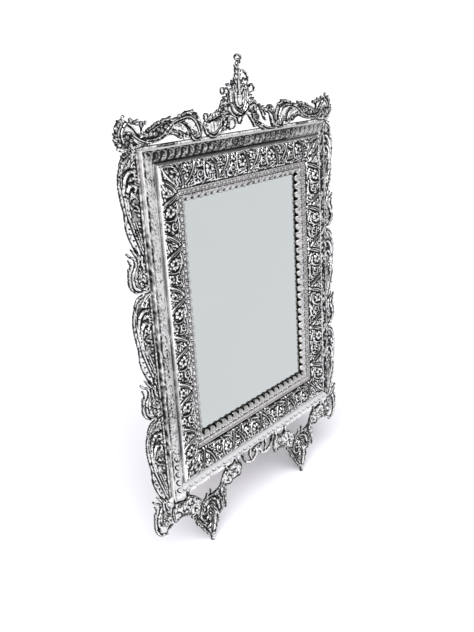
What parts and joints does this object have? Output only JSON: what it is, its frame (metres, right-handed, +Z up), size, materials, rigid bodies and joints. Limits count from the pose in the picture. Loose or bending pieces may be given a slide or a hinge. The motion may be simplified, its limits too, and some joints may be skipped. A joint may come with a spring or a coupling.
{
  "type": "easel-back dressing-table mirror",
  "caption": "Table mirror in an antique-silver frame with gadrooned and floral bands, openwork scrolls, scroll feet and a folding rear strut.",
  "frame": {"origin": "on the ground, under the middle of the standing mirror's bounding box", "axes": "+Z up, -Y is the way the mirror looks, +X is the mirror's right as seen from the front"},
  "size_m": [0.3402, 0.1312, 0.5026],
  "materials": {
    "antique_silver": "satin, dark in the hollows",
    "walnut": "oiled",
    "plate": "polished",
    "felt": "matte",
    "brass": "satin",
    "steel": "satin",
    "leather": "matte"
  },
  "bodies": {
    "frame": {"rail_top": "walnut", "rail_bottom": "walnut", "rail_left": "walnut", "rail_right": "walnut", "edge_band_top": "antique_silver", "edge_band_bottom": "antique_silver", "edge_band_left": "antique_silver", "edge_band_right": "antique_silver", "gadroon_top": "antique_silver", "gadroon_bottom": "antique_silver", "gadroon_left": "antique_silver", "gadroon_right": "antique_silver", "floral_band_top": "antique_silver", "floral_band_bottom": "antique_silver", "floral_band_left": "antique_silver", "floral_band_right": "antique_silver", "fillet_top": "antique_silver", "fillet_bottom": "antique_silver", "fillet_left": "antique_silver", "fillet_right": "antique_silver", "leaf_edge_top": "antique_silver", "leaf_edge_bottom": "antique_silver", "leaf_edge_left": "antique_silver", "leaf_edge_right": "antique_silver", "mirror_plate": "plate", "felt_sheet": "felt", "back_board": "walnut", "crest_centre": "antique_silver", "crest_wing_left": "antique_silver", "crest_wing_right": "antique_silver", "side_scroll_left_upper": "antique_silver", "side_scroll_left_middle": "antique_silver", "side_scroll_left_lower": "antique_silver", "side_scroll_right_upper": "antique_silver", "side_scroll_right_middle": "antique_silver", "side_scroll_right_lower": "antique_silver", "apron_centre": "antique_silver", "scroll_foot_left": "antique_silver", "scroll_foot_right": "antique_silver", "openwork_screws": "brass", "turn_button_screws": "brass", "hinge_leaf_board": "brass", "hinge_pin": "steel", "stay_lugs": "brass", "board_screws": "brass"},
    "strut": {"hinge_leaf_strut": "brass", "easel_strut": "walnut", "strut_pad": "leather", "stay_keeper": "brass", "strut_screws": "brass"},
    "stay": {"wire_stay": "steel"},
    "turn_button_top": {"turn_button_top": "brass"},
    "turn_button_bottom": {"turn_button_bottom": "brass"},
    "turn_button_left_upper": {"turn_button_left_upper": "brass"},
    "turn_button_left_lower": {"turn_button_left_lower": "brass"},
    "turn_button_right_upper": {"turn_button_right_upper": "brass"},
    "turn_button_right_lower": {"turn_button_right_lower": "brass"}
  },
  "joints": [
    {"name": "strut_fold", "type": "hinge", "parent": "frame", "child": "strut", "pos_m": [0, -0.01392, 0.33808], "axis": [1, 0, 0], "range_deg": [-17, 0]},
    {"name": "stay_swing", "type": "hinge", "parent": "frame", "child": "stay", "pos_m": [0, -0.02019, 0.27841], "axis": [1, 0, 0], "range_deg": [-34, 0]},
    {"name": "turn_top", "type": "hinge", "parent": "frame", "child": "turn_button_top", "pos_m": [0, -0.01062, 0.3953], "axis": [0, 0.9945, -0.1045], "range_deg": [-90, 90]},
    {"name": "turn_bottom", "type": "hinge", "parent": "frame", "child": "turn_button_bottom", "pos_m": [0, -0.04035, 0.11235], "axis": [0, 0.9945, -0.1045], "range_deg": [-90, 90]},
    {"name": "turn_left_upper", "type": "hinge", "parent": "frame", "child": "turn_button_left_upper", "pos_m": [-0.11225, -0.0166, 0.33836], "axis": [0, 0.9945, -0.1045], "range_deg": [-90, 90]},
    {"name": "turn_left_lower", "type": "hinge", "parent": "frame", "child": "turn_button_left_lower", "pos_m": [-0.11225, -0.03437, 0.16929], "axis": [0, 0.9945, -0.1045], "range_deg": [-90, 90]},
    {"name": "turn_right_upper", "type": "hinge", "parent": "frame", "child": "turn_button_right_upper", "pos_m": [0.11225, -0.0166, 0.33836], "axis": [0, 0.9945, -0.1045], "range_deg": [-90, 90]},
    {"name": "turn_right_lower", "type": "hinge", "parent": "frame", "child": "turn_button_right_lower", "pos_m": [0.11225, -0.03437, 0.16929], "axis": [0, 0.9945, -0.1045], "range_deg": [-90, 90]}
  ],
  "couplings": [
    {"joint": "stay_swing", "follows": "strut_fold", "ratio": 2}
  ]
}
